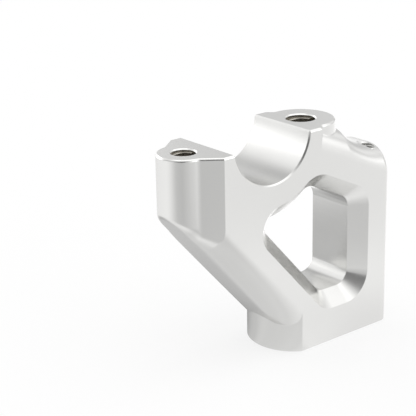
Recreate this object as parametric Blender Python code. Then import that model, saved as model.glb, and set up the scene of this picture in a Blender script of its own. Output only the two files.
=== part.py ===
"""Motorcycle bar riser, machined from one block of aluminium.

The riser stands on its flat base (z = 0). The handlebar lies along Y in the
half-round cradle. The front post is at -X, and the rear post and rear arm are
at +X. The body is the same on both sides of the plane y = 0, apart from one
small tapped hole in the rear arm.

Every X below is counted from the handlebar's axis. An empty then moves the
whole riser, so that the middle of its base lies on the origin.
"""

import math

import bmesh
import bpy
from mathutils import Vector

# Handlebar cradle
BAR_DIAMETER = 0.0320
CRADLE_RADIUS = BAR_DIAMETER / 2
BAR_AXIS_Z = 0.0789

# Whole body
BODY_WIDTH = 0.0275
HALF = BODY_WIDTH / 2
EDGE_CHAMFER = 0.0005

# Tapping holes for M8, M10 and M5 screws
M8_CORE = 0.0068
M8_CHAMFER = 0.0010
M10_CORE = 0.0085
M10_CHAMFER = 0.00115
M5_CORE = 0.0042
M5_CHAMFER = 0.0005
DRILL_POINT_DEG = 31.0

# Front post, narrower than the body on each side of its boss
FRONT_HOLE_FROM_CRADLE = 0.0096
FRONT_HOLE_X = -(CRADLE_RADIUS + FRONT_HOLE_FROM_CRADLE)
FRONT_HOLE_DEPTH = 0.0200
FRONT_TOP_DROP = 0.0029
FRONT_TOP_Z = BAR_AXIS_Z - FRONT_TOP_DROP
FRONT_NARROWING = 0.00495
FRONT_BOSS_RADIUS = HALF - FRONT_NARROWING
FRONT_NECK_DEG = 79.05
FRONT_NECK_FILLET = 0.0030
FRONT_FLARE_DEG = 38.5
FRONT_POST_HEIGHT = 0.0200

# Rear post
REAR_HOLE_FROM_CRADLE = 0.00865
REAR_HOLE_X = CRADLE_RADIUS + REAR_HOLE_FROM_CRADLE
REAR_HOLE_DEPTH = 0.0180
REAR_TOP_DROP = 0.00115
REAR_TOP_Z = BAR_AXIS_Z - REAR_TOP_DROP
REAR_NARROWING = 0.00205
REAR_BOSS_RADIUS = HALF - REAR_NARROWING
REAR_NECK_DEG = 93.1
REAR_NECK_FILLET = 0.0014
REAR_FOOT_TIGHTER = 0.0002
REAR_FOOT_FILLET = REAR_NECK_FILLET - REAR_FOOT_TIGHTER
REAR_FLARE_DEG = 45.0

# Diagonal strut, whose underside runs from the base to the front post
# Its lower edges are rounded, tightly at the tip and widely along the sides
STRUT_FOOT_X = 0.01586
STRUT_THICKNESS = 0.01876
TIP_ROUNDING = 0.0025
NECK_ROUNDING = 0.0048
SIDE_ROUNDING = 0.0082
FRONT_TIP_X = FRONT_HOLE_X - FRONT_BOSS_RADIUS
STRUT_ANGLE = math.atan2(FRONT_TOP_Z - FRONT_POST_HEIGHT, STRUT_FOOT_X - FRONT_TIP_X)
STRUT_DOWN = Vector((-math.sin(STRUT_ANGLE), 0.0, -math.cos(STRUT_ANGLE)))

# Base with its round nose, which is a little wider than the body
NOSE_CENTRE_X = 0.0215
NOSE_BULGE = 0.00235
NOSE_RADIUS = HALF + NOSE_BULGE
NOSE_FILLET = 0.0012
NOSE_CREASE_X = NOSE_CENTRE_X - math.sqrt(NOSE_RADIUS ** 2 - HALF ** 2)
BASE_HOLE_COUNT = 2
BASE_HOLE_SPACING = 0.0225
BASE_HOLE_DEPTH = 0.0120

# Rear column
REAR_FACE_X = 0.0545
REAR_WALL = 0.0155
REAR_CORNER_RADIUS = 0.0025
REAR_TOP_RADIUS = 0.0012

# Arm on top of the column, with a hollow sweep up to the rear post
ARM_LOW_DROP = 0.0144
ARM_LOW_Z = BAR_AXIS_Z - ARM_LOW_DROP
ARM_SHOULDER_DROP = 0.0095
ARM_SHOULDER_DEG = 23.6
ARM_SHOULDER_Z = ARM_LOW_Z - ARM_SHOULDER_DROP
ARM_SWEEP_RADIUS = 0.0300
ARM_SWEEP_PAST_FACE = 0.0025
ARM_SWEEP_Z = ARM_LOW_Z + math.sqrt(ARM_SWEEP_RADIUS ** 2 - ARM_SWEEP_PAST_FACE ** 2)
ARM_EDGE_WIDTH = 0.0104
ARM_ROOT_DROP = 0.00205
ARM_FLAT = HALF - ARM_EDGE_WIDTH
SMALL_HOLE_FROM_FACE = 0.0045
SMALL_HOLE_FROM_SIDE = 0.00695
SMALL_HOLE_DEPTH = 0.0116

# Window through both sides, flared at 45 degrees at each face
WINDOW_FLOOR_Z = 0.01740
WINDOW_REAR_X = REAR_FACE_X - REAR_WALL
WINDOW_ROOF_DEG = 25.3
WINDOW_ROOF_DROP = 0.03055
CRADLE_WALL = 0.0131
WINDOW_CORNER = 0.0050
WINDOW_FRONT_CORNER = 0.0035
WINDOW_FLARE = 0.0051

# Middle of the base, which becomes the origin
BASE_MIDDLE_X = (NOSE_CENTRE_X - NOSE_RADIUS + REAR_FACE_X) / 2

# How deep the body's solids reach into each other, and how far cutters stand out
OVERLAP = 0.0010
COLUMN_START_X = NOSE_CREASE_X + 2 * OVERLAP
FRONT_END_X = COLUMN_START_X + OVERLAP
NOSE_END_X = FRONT_END_X + 2 * OVERLAP
REAR_POST_START_X = CRADLE_RADIUS - 4 * OVERLAP
REAR_POST_DEPTH = 0.0200
CUT_PAST = 0.0020

# Fineness of the round shapes
BOSS_STEPS = 16
NECK_STEPS = 4
FLARE_STEPS = 5
SIDE_STEPS = 8
ROUND_STEPS = 9
NOSE_STEPS = 32
COLLAR_STEPS = 4
CORNER_STEPS = 6
ARM_STEPS = 16
EDGE_STEPS = 10
CRADLE_STEPS = 40
HOLE_STEPS = 48
WINDOW_STEP_DEG = 11.0

# Fade of a hollow fillet near a crease, as an angle and a smallest share
COLLAR_FADE = math.radians(14.0)
COLLAR_LEAST = 0.05

# Search for the place where a ball touches the arm
TOUCH_TURNS = 8
SEARCH_STEPS = 24
NUDGE = 0.00001

MERGE = 0.000001
SHARP_DEG = 28.0
FINISH_COLOUR = (0.70, 0.70, 0.68, 1.0)
FINISH_ROUGHNESS = 0.42
FINISH_METALLIC = 0.9


def clear_scene():
    """Remove every object, so that the script starts from nothing."""
    for item in list(bpy.data.objects):
        bpy.data.objects.remove(item, do_unlink=True)


def arc(centre, radius, start, stop, steps):
    """Points of an arc in a plane, between two angles."""
    turn = (stop - start) / steps
    angles = [start + turn * index for index in range(steps + 1)]
    return [centre + Vector((math.cos(angle), math.sin(angle))) * radius for angle in angles]


def inset(outline, amount):
    """Move a closed outline, given anticlockwise, inwards by an amount."""
    moved = []
    for index, here in enumerate(outline):
        before = (here - outline[index - 1]).normalized()
        after = (outline[(index + 1) % len(outline)] - here).normalized()
        one = Vector((-before.y, before.x))
        two = Vector((-after.y, after.x))
        middle = (one + two).normalized()
        moved.append(here + middle * (amount / middle.dot(one)))
    return moved


def level(outline, z):
    """A plan outline as a ring at height z."""
    return [Vector((point.x, point.y, z)) for point in outline]


def both_sides(half):
    """Whole ring from its near half, whose first point lies on y = 0."""
    far = [Vector((point.x, -point.y, *point[2:])) for point in reversed(half[1:])]
    return far + list(half)


def loft(name, rings, tip=None):
    """Closed solid through rings of equal length, with flat or pointed end."""
    work = bmesh.new()
    made = [[work.verts.new(point) for point in ring] for ring in rings]
    count = len(rings[0])
    for lower, upper in zip(made, made[1:]):
        for index in range(count):
            after = (index + 1) % count
            work.faces.new((lower[index], lower[after], upper[after], upper[index]))
    work.faces.new(list(reversed(made[0])))
    if tip is None:
        work.faces.new(made[-1])
    else:
        point = work.verts.new(tip)
        for index in range(count):
            work.faces.new((made[-1][index], made[-1][(index + 1) % count], point))
    bmesh.ops.remove_doubles(work, verts=work.verts, dist=MERGE)
    bmesh.ops.dissolve_degenerate(work, edges=work.edges, dist=MERGE)
    bmesh.ops.recalc_face_normals(work, faces=work.faces)
    mesh = bpy.data.meshes.new(name)
    work.to_mesh(mesh)
    work.free()
    item = bpy.data.objects.new(name, mesh)
    bpy.context.scene.collection.objects.link(item)
    return item


def strut_z(x):
    """Height of the strut's underside on the middle plane."""
    return (STRUT_FOOT_X - x) * math.tan(STRUT_ANGLE)


def post_plan(centre_x, radius, neck_deg, fillet, flare_deg):
    """Near half of a post in plan, with its tip at -X.

    A round boss runs into a small hollow fillet at the neck, and then into a
    flat flare that widens to the full width. Returns the curved points, their
    outward normals, the flare's normal and the crease at y = -HALF.
    """
    slope = math.radians(flare_deg)
    neck = math.radians(neck_deg)
    centre = Vector((centre_x, 0.0))
    flare = Vector((-math.sin(slope), -math.cos(slope)))
    points = arc(centre, radius, math.pi, math.pi + neck, BOSS_STEPS)
    normals = [(point - centre).normalized() for point in points]
    hollow = centre + normals[-1] * (radius + fillet)
    start = math.atan2(-normals[-1].y, -normals[-1].x)
    stop = math.atan2(-flare.y, -flare.x)
    bend = arc(hollow, fillet, start, stop, NECK_STEPS)[1:]
    points += bend
    normals += [(hollow - point).normalized() for point in bend]
    run = (HALF + points[-1].y) / math.tan(slope)
    crease = Vector((points[-1].x + run, -HALF))
    return points, normals, flare, crease


def rounded_edge(point, normal, radius, gamma):
    """Point on the rounded lower edge below a point of the wall.

    The rounding is the path of a ball that rolls along the wall and the
    strut's underside. gamma is the angle left between the surface's normal and
    the underside's normal, so that 0 is on the flat underside.
    """
    wall = Vector((normal.x, normal.y, 0.0))
    alpha = wall.angle(STRUT_DOWN)
    beta = max(alpha - gamma, 0.0)
    direction = (wall * math.sin(alpha - beta) + STRUT_DOWN * math.sin(beta)) / math.sin(alpha)
    x = point.x + radius * (direction.x - normal.x)
    y = point.y + radius * (direction.y - normal.y)
    rise = radius * (1.0 - math.cos(gamma)) / math.cos(STRUT_ANGLE)
    return Vector((x, y, strut_z(x) + rise))


def strut_row(plan, gamma, end_x):
    """Near half of one line round the strut, at one angle of rounding."""
    curved, normals, flare, crease = plan
    last = len(curved) - 1
    shares = [(index / last) ** 2 for index in range(last + 1)]
    radii = [TIP_ROUNDING + (NECK_ROUNDING - TIP_ROUNDING) * share for share in shares]
    points = [rounded_edge(*column, gamma) for column in zip(curved, normals, radii)]
    side = Vector((0.0, -1.0))
    end = rounded_edge(Vector((end_x, -HALF)), side, SIDE_ROUNDING, gamma)
    corner = rounded_edge(crease, flare, SIDE_ROUNDING, gamma)
    mitre_x = corner.x + (corner.y - end.y) / flare.x * flare.y
    start = points[-1]
    start_rise = start.z - strut_z(start.x)
    side_rise = end.z - strut_z(end.x)
    for index in range(1, FLARE_STEPS + 1):
        share = index / FLARE_STEPS
        x = start.x + (mitre_x - start.x) * share
        y = start.y + (end.y - start.y) * share
        points.append(Vector((x, y, strut_z(x) + start_rise + (side_rise - start_rise) * share)))
    for index in range(1, SIDE_STEPS + 1):
        x = mitre_x + (end.x - mitre_x) * index / SIDE_STEPS
        points.append(Vector((x, end.y, strut_z(x) + side_rise)))
    return points


def make_front():
    """Front post and strut: upright walls and a sloping, rounded underside."""
    plan = post_plan(FRONT_HOLE_X, FRONT_BOSS_RADIUS, FRONT_NECK_DEG, FRONT_NECK_FILLET, FRONT_FLARE_DEG)
    gammas = [math.pi / 2 * (1 - step / ROUND_STEPS) for step in range(ROUND_STEPS + 1)]
    rows = [strut_row(plan, gamma, FRONT_END_X) for gamma in gammas]
    outline = [Vector((point.x, point.y)) for point in rows[0]]
    top = inset(both_sides(outline), EDGE_CHAMFER)[len(outline) - 1:]
    top[0].y = 0.0
    top[-1] = Vector((FRONT_END_X, EDGE_CHAMFER - HALF))
    walls = [level(top, FRONT_TOP_Z), level(outline, FRONT_TOP_Z - EDGE_CHAMFER)]
    return loft("front", [both_sides(row) for row in walls + rows])


def nose_collar(point, normal, fillet):
    """Arc of the hollow fillet from the nose's wall to the strut's underside.

    It is the path of a ball under the strut, whose sides are rounded. The last
    point lies inside the strut.
    """
    ball = point + normal * fillet
    side = max(abs(ball.y) - (HALF - SIDE_ROUNDING), 0.0)
    lean = math.asin(side / (SIDE_ROUNDING + fillet))
    below = (SIDE_ROUNDING + fillet) * math.cos(lean) - SIDE_ROUNDING
    centre = Vector((ball.x, ball.y, strut_z(ball.x) - below / math.cos(STRUT_ANGLE)))
    wall = Vector((-normal.x, -normal.y, 0.0))
    sideways = Vector((0.0, math.copysign(math.sin(lean), ball.y), 0.0))
    roof = -(STRUT_DOWN * math.cos(lean) + sideways)
    points = [centre + wall.slerp(roof, step / COLLAR_STEPS) * fillet for step in range(COLLAR_STEPS + 1)]
    return points + [points[-1] + roof * OVERLAP]


def make_nose():
    """Round nose of the base, with a hollow fillet up to the strut."""
    limit = math.asin(HALF / NOSE_RADIUS)
    centre = Vector((NOSE_CENTRE_X, 0.0))
    outline = arc(centre, NOSE_RADIUS, math.pi - limit, math.pi + limit, NOSE_STEPS)
    collars = []
    for index, point in enumerate(outline):
        left = limit - abs(2 * index / NOSE_STEPS - 1) * limit
        fillet = NOSE_FILLET * max(min(left / COLLAR_FADE, 1.0), COLLAR_LEAST)
        collars.append(nose_collar(point, (point - centre).normalized(), fillet))
    corners = [Vector((NOSE_END_X, -HALF)), Vector((NOSE_END_X, HALF))]
    foot = inset(outline + corners, EDGE_CHAMFER)
    foot[-2] = Vector((NOSE_END_X, EDGE_CHAMFER - HALF))
    foot[-1] = Vector((NOSE_END_X, HALF - EDGE_CHAMFER))
    rings = [level(foot, 0.0), level(outline + corners, EDGE_CHAMFER)]
    for row in zip(*collars):
        rings.append(list(row) + level(corners, row[-1].z))
    return loft("nose", rings)


def corner_drop(x, radius):
    """How far a rounded rear edge has fallen back at x."""
    run = max(x - (REAR_FACE_X - radius), 0.0)
    return radius - math.sqrt(max(radius ** 2 - run ** 2, 0.0))


def arm_shoulder(x):
    """Height at which the arm's rounded side leaves the flat side face."""
    return ARM_SHOULDER_Z + (REAR_FACE_X - x) * math.tan(math.radians(ARM_SHOULDER_DEG))


def arm_rise(x):
    """Height of the arm's ridge above its shoulder, at most its edge's width."""
    run = REAR_FACE_X + ARM_SWEEP_PAST_FACE - x
    ridge = ARM_SWEEP_Z - math.sqrt(max(ARM_SWEEP_RADIUS ** 2 - run ** 2, 0.0))
    return min(ridge - arm_shoulder(x), ARM_EDGE_WIDTH)


def arm_section(x):
    """Closed section of the column and the arm at x."""
    width = HALF - corner_drop(x, REAR_CORNER_RADIUS)
    rise = arm_rise(x) - corner_drop(x, REAR_TOP_RADIUS)
    foot = EDGE_CHAMFER if x > REAR_FACE_X - MERGE else 0.0
    near = [Vector((x, 0.0, foot)), Vector((x, EDGE_CHAMFER - width, foot)),
            Vector((x, -width, foot + EDGE_CHAMFER))]
    for index in range(EDGE_STEPS + 1):
        angle = index / EDGE_STEPS * math.pi / 2
        y = -ARM_FLAT - (width - ARM_FLAT) * math.cos(angle)
        z = min(arm_shoulder(x) + rise * math.sin(angle), REAR_TOP_Z - ARM_ROOT_DROP)
        near.append(Vector((x, y, z)))
    far = [Vector((point.x, -point.y, point.z)) for point in reversed(near[1:])]
    return near + far


def make_column():
    """Rear column and arm, lofted along X between sections."""
    flat_end = REAR_FACE_X - REAR_CORNER_RADIUS
    run = flat_end - COLUMN_START_X
    stations = [COLUMN_START_X + run * index / ARM_STEPS for index in range(ARM_STEPS)]
    for index in range(CORNER_STEPS + 1):
        angle = index / CORNER_STEPS * math.pi / 2
        stations.append(flat_end + REAR_CORNER_RADIUS * math.sin(angle))
    return loft("column", [arm_section(x) for x in stations])


def arm_touch(x, y, fillet):
    """Where a ball of a radius, above x and y, rests on the near side of the arm.

    Returns the ball's centre and the arm's normal at the touching point.
    """
    touch_x = x
    normal = Vector((0.0, 0.0, 1.0))
    angle = math.pi / 2
    for _ in range(TOUCH_TURNS):
        rise = arm_rise(touch_x)
        growth = (arm_rise(touch_x + NUDGE) - rise) / NUDGE
        slope = -math.tan(math.radians(ARM_SHOULDER_DEG))
        low, high = 0.0, math.pi / 2
        for _ in range(SEARCH_STEPS):
            angle = (low + high) / 2
            upright = math.sin(angle)
            normal = Vector((-(slope + growth * upright) * upright,
                             -rise / ARM_EDGE_WIDTH * math.cos(angle), upright)).normalized()
            reached = -ARM_FLAT - ARM_EDGE_WIDTH * math.cos(angle) + fillet * normal.y
            if reached < y:
                low = angle
            else:
                high = angle
        touch_x = x - fillet * normal.x
    height = arm_shoulder(touch_x) + arm_rise(touch_x) * math.sin(angle)
    return Vector((x, y, height + fillet * normal.z)), normal


def post_collar(point, normal, fillet):
    """Arc of the hollow fillet from the arm up to the rear post's wall.

    The first point lies inside the arm.
    """
    ball = point + normal * fillet
    centre, up = arm_touch(ball.x, ball.y, fillet)
    wall = Vector((-normal.x, -normal.y, 0.0))
    points = [centre + (-up).slerp(wall, step / COLLAR_STEPS) * fillet for step in range(COLLAR_STEPS + 1)]
    return [points[0] - up * OVERLAP] + points


def make_rear_post():
    """Rear post: full width at the cradle, a flare, and a round boss."""
    curved, normals, flare, crease = post_plan(-REAR_HOLE_X, REAR_BOSS_RADIUS, REAR_NECK_DEG,
                                               REAR_NECK_FILLET, REAR_FLARE_DEG)
    last = len(curved) + FLARE_STEPS - 1
    steps = range(1, FLARE_STEPS + 1)
    plan = curved + [curved[-1].lerp(crease, index / FLARE_STEPS) for index in steps]
    normals = normals + [flare] * FLARE_STEPS
    collars = []
    for index, (point, normal) in enumerate(zip(plan, normals)):
        fillet = REAR_FOOT_FILLET * max(min((last - index) / FLARE_STEPS, 1.0), COLLAR_LEAST)
        turned = Vector((-point.x, point.y)), Vector((-normal.x, normal.y))
        collars.append(post_collar(*turned, fillet))
    outline = [Vector((-point.x, point.y)) for point in plan] + [Vector((REAR_POST_START_X, -HALF))]
    top = inset(list(reversed(both_sides(outline))), EDGE_CHAMFER)
    top = list(reversed(top))[len(outline) - 1:]
    top[0].y = 0.0
    top[-1] = Vector((REAR_POST_START_X, EDGE_CHAMFER - HALF))
    rows = [level(outline, REAR_TOP_Z - REAR_POST_DEPTH)]
    rows += [list(row) + [Vector((REAR_POST_START_X, -HALF, row[-1].z))] for row in zip(*collars)]
    rows += [level(outline, REAR_TOP_Z - EDGE_CHAMFER), level(top, REAR_TOP_Z)]
    return loft("rear_post", [both_sides(row) for row in rows])


def cradle_profile(grow):
    """Outline in the XZ plane of the space for the handlebar."""
    radius = CRADLE_RADIUS + grow
    front = math.asin((FRONT_TOP_Z - EDGE_CHAMFER - BAR_AXIS_Z) / radius)
    rear = math.asin((REAR_TOP_Z - EDGE_CHAMFER - BAR_AXIS_Z) / radius)
    bed = arc(Vector((0.0, BAR_AXIS_Z)), radius, -math.pi - front, rear, CRADLE_STEPS)
    lean = EDGE_CHAMFER + CUT_PAST
    high = BAR_AXIS_Z + CRADLE_RADIUS
    above = [bed[-1] + Vector((lean, lean)), Vector((bed[-1].x + lean, high)),
             Vector((bed[0].x - lean, high)), bed[0] + Vector((-lean, lean))]
    return bed + above


def window_profile(grow):
    """Five-sided window outline in the XZ plane, moved outwards by grow.

    The floor and the rear wall are straight. The roof slopes down to the
    rear. The upper front side follows the cradle. The lower front side runs
    along the strut. Each corner is an arc that touches both its sides.
    """
    roof_angle = math.radians(WINDOW_ROOF_DEG)
    down = Vector((0.0, -1.0))
    back = Vector((1.0, 0.0))
    roof = Vector((math.sin(roof_angle), math.cos(roof_angle)))
    strut = Vector((STRUT_DOWN.x, STRUT_DOWN.z))
    axis = Vector((0.0, BAR_AXIS_Z))
    bed = CRADLE_RADIUS + CRADLE_WALL - grow
    corner = WINDOW_CORNER + grow
    front = WINDOW_FRONT_CORNER + grow
    floor_line = Vector((0.0, WINDOW_FLOOR_Z)) + down * grow, down
    rear_line = Vector((WINDOW_REAR_X, 0.0)) + back * grow, back
    roof_line = Vector((WINDOW_REAR_X, BAR_AXIS_Z - WINDOW_ROOF_DROP)) + roof * grow, roof
    strut_line = Vector((STRUT_FOOT_X, 0.0)) + strut * (grow - STRUT_THICKNESS), strut

    def between(one, two, radius):
        """Centre of the corner arc that touches two straight sides."""
        (point, normal), (other, facing) = one, two
        a = point.dot(normal) - radius
        b = other.dot(facing) - radius
        det = normal.x * facing.y - normal.y * facing.x
        return Vector(((a * facing.y - b * normal.y) / det, (normal.x * b - facing.x * a) / det))

    def beside_bed(line, radius):
        """Centre of the corner arc that touches a straight side and the cradle's wall."""
        point, normal = line
        start = point - normal * radius
        run = Vector((-normal.y, normal.x))
        run *= -math.copysign(1.0, run.x)
        offset = start - axis
        part = offset.dot(run)
        return start + run * (-part - math.sqrt(part ** 2 - offset.length_squared + (bed + radius) ** 2))

    def turn(centre, radius, start, stop):
        """Corner arc from one direction to another, anticlockwise."""
        one = math.atan2(start.y, start.x)
        sweep = (math.atan2(stop.y, stop.x) - one) % (2 * math.pi)
        steps = math.ceil(math.degrees(sweep) / WINDOW_STEP_DEG)
        return arc(centre, radius, one, one + sweep, steps)

    roof_bed = beside_bed(roof_line, corner)
    strut_bed = beside_bed(strut_line, front)
    points = turn(between(floor_line, strut_line, corner), corner, strut, down)
    points += turn(between(floor_line, rear_line, corner), corner, down, back)
    points += turn(between(rear_line, roof_line, corner), corner, back, roof)
    points += turn(roof_bed, corner, roof, axis - roof_bed)
    points += list(reversed(turn(axis, bed, strut_bed - axis, roof_bed - axis)))[1:-1]
    points += turn(strut_bed, front, axis - strut_bed, strut)
    return points


def through_cutter(name, profile, flare):
    """Cutter from side to side, which widens by flare towards each side face."""
    past = HALF + CUT_PAST
    stations = ((-past, flare + CUT_PAST), (flare - HALF, 0.0), (HALF - flare, 0.0), (past, flare + CUT_PAST))
    rings = []
    for y, grow in stations:
        rings.append([Vector((point.x, y, point.y)) for point in profile(grow)])
    return loft(name, rings)


def make_hole(name, mouth, inward, core, chamfer, depth):
    """Blind drilled hole: chamfered mouth, straight bore and a drill point."""
    radius = core / 2
    tip = radius * math.tan(math.radians(DRILL_POINT_DEG))
    centre = Vector((mouth.x, mouth.y))
    rings = []
    for down, size in ((-CUT_PAST, radius + chamfer + CUT_PAST), (chamfer, radius), (depth, radius)):
        circle = arc(centre, size, 0.0, 2 * math.pi, HOLE_STEPS)[:-1]
        rings.append(level(circle, mouth.z + inward * down))
    return loft(name, rings, Vector((mouth.x, mouth.y, mouth.z + inward * (depth + tip))))


def make_holes():
    """Cutters of the tapped holes: two in the posts, one in the arm, two in the base."""
    holes = [make_hole("front_hole", Vector((FRONT_HOLE_X, 0.0, FRONT_TOP_Z)), -1,
                       M8_CORE, M8_CHAMFER, FRONT_HOLE_DEPTH),
             make_hole("rear_hole", Vector((REAR_HOLE_X, 0.0, REAR_TOP_Z)), -1,
                       M10_CORE, M10_CHAMFER, REAR_HOLE_DEPTH)]
    small_x = REAR_FACE_X - SMALL_HOLE_FROM_FACE
    small_y = SMALL_HOLE_FROM_SIDE - HALF
    surface, _ = arm_touch(small_x, small_y, 0.0)
    holes.append(make_hole("small_hole", surface, -1, M5_CORE, M5_CHAMFER, SMALL_HOLE_DEPTH))
    for index in range(BASE_HOLE_COUNT):
        mouth = Vector((NOSE_CENTRE_X + index * BASE_HOLE_SPACING, 0.0, 0.0))
        name = "base_hole_%d" % (index + 1)
        holes.append(make_hole(name, mouth, 1, M8_CORE, M8_CHAMFER, BASE_HOLE_DEPTH))
    return holes


def boolean(target, other, operation):
    """Add an exact Boolean and hide the shape that it uses."""
    modifier = target.modifiers.new(operation.lower() + "_" + other.name, "BOOLEAN")
    modifier.operation = operation
    modifier.solver = "EXACT"
    modifier.object = other
    other.hide_render = True
    other.display_type = "WIRE"


def make_finish():
    """Satin silver, bead-blasted and clear anodised aluminium."""
    material = bpy.data.materials.new("satin_aluminium")
    material.use_nodes = True
    shader = material.node_tree.nodes["Principled BSDF"]
    shader.inputs["Base Color"].default_value = FINISH_COLOUR
    shader.inputs["Roughness"].default_value = FINISH_ROUGHNESS
    shader.inputs["Metallic"].default_value = FINISH_METALLIC
    return material


def main():
    """Join the body's solids, cut the openings and set the riser on its origin."""
    clear_scene()
    frame = bpy.data.objects.new("riser_frame", None)
    frame.location.x = -BASE_MIDDLE_X
    bpy.context.scene.collection.objects.link(frame)
    body = make_front()
    body.name = "riser_body"
    body.data.name = "riser_body"
    body.data.materials.append(make_finish())
    for shape in (make_nose(), make_column(), make_rear_post()):
        boolean(body, shape, "UNION")
    cutters = [through_cutter("cradle_cutter", cradle_profile, EDGE_CHAMFER),
               through_cutter("window_cutter", window_profile, WINDOW_FLARE)]
    for cutter in cutters + make_holes():
        boolean(body, cutter, "DIFFERENCE")
    for shape in bpy.data.objects:
        if shape != frame:
            shape.parent = frame
    body.data.shade_smooth()
    body.data.set_sharp_from_angle(angle=math.radians(SHARP_DEG))


main()
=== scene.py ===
"""Looks of the motorcycle bar riser, one machined block of satin aluminium.

The riser's body is built here with finer rounds than its CAD solid, and its
tapped holes get their threads. It stands in a pale studio. Sizes are in metres.
As in the part's source, an X of the riser is counted from the handlebar's axis
until the finished meshes are moved to the frame's origin, mid-base.
"""

import logging
import math
from dataclasses import dataclass
from enum import Enum
from typing import Callable, Sequence, Union

import bmesh
import bpy
from mathutils import Matrix, Vector


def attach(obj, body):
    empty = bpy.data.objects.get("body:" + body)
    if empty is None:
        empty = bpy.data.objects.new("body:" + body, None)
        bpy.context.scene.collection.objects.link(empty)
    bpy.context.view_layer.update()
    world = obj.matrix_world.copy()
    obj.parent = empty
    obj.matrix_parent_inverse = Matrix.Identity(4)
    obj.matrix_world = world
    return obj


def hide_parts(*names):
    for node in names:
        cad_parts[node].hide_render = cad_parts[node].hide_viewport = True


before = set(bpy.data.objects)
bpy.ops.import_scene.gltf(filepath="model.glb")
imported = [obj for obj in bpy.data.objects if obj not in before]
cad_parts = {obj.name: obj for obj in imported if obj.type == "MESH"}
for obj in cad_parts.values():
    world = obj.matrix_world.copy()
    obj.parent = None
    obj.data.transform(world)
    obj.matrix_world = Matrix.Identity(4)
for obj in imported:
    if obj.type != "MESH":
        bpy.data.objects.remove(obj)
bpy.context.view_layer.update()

BODY = "root"
NODE = "riser_body"
WHITE = (1.0, 1.0, 1.0, 1.0)
BLACK = (0.0, 0.0, 0.0, 1.0)

# Points nearer than this are one point, while solids are combined and at the end.
MERGE = 1e-6
SLIVER = 5e-6
SLIVER_SIDES = 4

logging.basicConfig(level=logging.INFO, format="%(message)s")
log = logging.getLogger("riser")

Loop = list[Vector]
Setting = Union[str, int, float, bool, tuple]


class Operation(Enum):
    """How one solid is combined with another."""

    ADD = "UNION"
    CUT = "DIFFERENCE"


class Way(Enum):
    """Which way a tapped hole goes into the metal."""

    DOWN = -1
    UP = 1


def arc(centre: Vector, radius: float, start: float, stop: float, steps: int) -> list[Vector]:
    """Points of an arc in a plane, from one angle to another in equal steps."""
    angles = [start + (stop - start) * index / steps for index in range(steps + 1)]
    return [centre + Vector((math.cos(angle), math.sin(angle))) * radius for angle in angles]


def inset(outline: Sequence[Vector], amount: float) -> list[Vector]:
    """Move a closed plan outline inwards.

    Args:
        outline: The points, anticlockwise.
        amount: The distance to move.

    Returns:
        The moved points.
    """
    moved = []
    for index, here in enumerate(outline):
        before = (here - outline[index - 1]).normalized()
        after = (outline[(index + 1) % len(outline)] - here).normalized()
        one, two = Vector((-before.y, before.x)), Vector((-after.y, after.x))
        middle = (one + two).normalized()
        moved.append(here + middle * (amount / middle.dot(one)))
    return moved


def level(outline: Sequence[Vector], z: float) -> Loop:
    """A plan outline as a ring at height z."""
    return [Vector((point.x, point.y, z)) for point in outline]


def both_sides(half: Sequence[Vector]) -> list[Vector]:
    """A whole ring from its near half, whose first point lies on y = 0."""
    far = [Vector((point.x, -point.y, *point[2:])) for point in reversed(half[1:])]
    return far + list(half)


def add(name: str, data: bpy.types.ID) -> bpy.types.Object:
    """Add an object to the scene.

    Args:
        name: The object's name.
        data: Its mesh or camera.

    Returns:
        The object.
    """
    item = bpy.data.objects.new(name, data)
    bpy.context.scene.collection.objects.link(item)
    return item


def loft(name: str, rings: Sequence[Loop], tip: Vector | None = None) -> bpy.types.Object:
    """Join rings of equal length into one closed solid.

    Args:
        name: The new object's name.
        rings: The rings, from one end to the other.
        tip: A point that closes the last ring, or None for a flat end.

    Returns:
        The new object.
    """
    work = bmesh.new()
    made = [[work.verts.new(point) for point in ring] for ring in rings]
    count = len(rings[0])
    for lower, upper in zip(made, made[1:]):
        for index in range(count):
            after = (index + 1) % count
            work.faces.new((lower[index], lower[after], upper[after], upper[index]))
    work.faces.new(list(reversed(made[0])))
    if tip is None:
        work.faces.new(made[-1])
    else:
        point = work.verts.new(tip)
        for index in range(count):
            work.faces.new((made[-1][index], made[-1][(index + 1) % count], point))
    bmesh.ops.remove_doubles(work, verts=work.verts, dist=MERGE)
    bmesh.ops.dissolve_degenerate(work, edges=work.edges, dist=MERGE)
    bmesh.ops.recalc_face_normals(work, faces=work.faces)
    mesh = bpy.data.meshes.new(name)
    work.to_mesh(mesh)
    work.free()
    return add(name, mesh)


def settle(item: bpy.types.Object) -> None:
    """Turn an object's evaluated shape into its own mesh, with no modifiers.

    Args:
        item: The object to change.
    """
    graph = bpy.context.evaluated_depsgraph_get()
    graph.update()
    mesh = bpy.data.meshes.new_from_object(item.evaluated_get(graph), depsgraph=graph)
    item.modifiers.clear()
    item.data = mesh


def heal(item: bpy.types.Object, distance: float) -> None:
    """Merge an object's doubled points, close slivers and turn its faces outwards.

    Args:
        item: The object to change.
        distance: How far apart two points may be to be merged.
    """
    work = bmesh.new()
    work.from_mesh(item.data)
    bmesh.ops.remove_doubles(work, verts=work.verts, dist=distance)
    bmesh.ops.holes_fill(work, edges=work.edges, sides=SLIVER_SIDES)
    bmesh.ops.recalc_face_normals(work, faces=work.faces)
    work.to_mesh(item.data)
    work.free()


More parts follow.
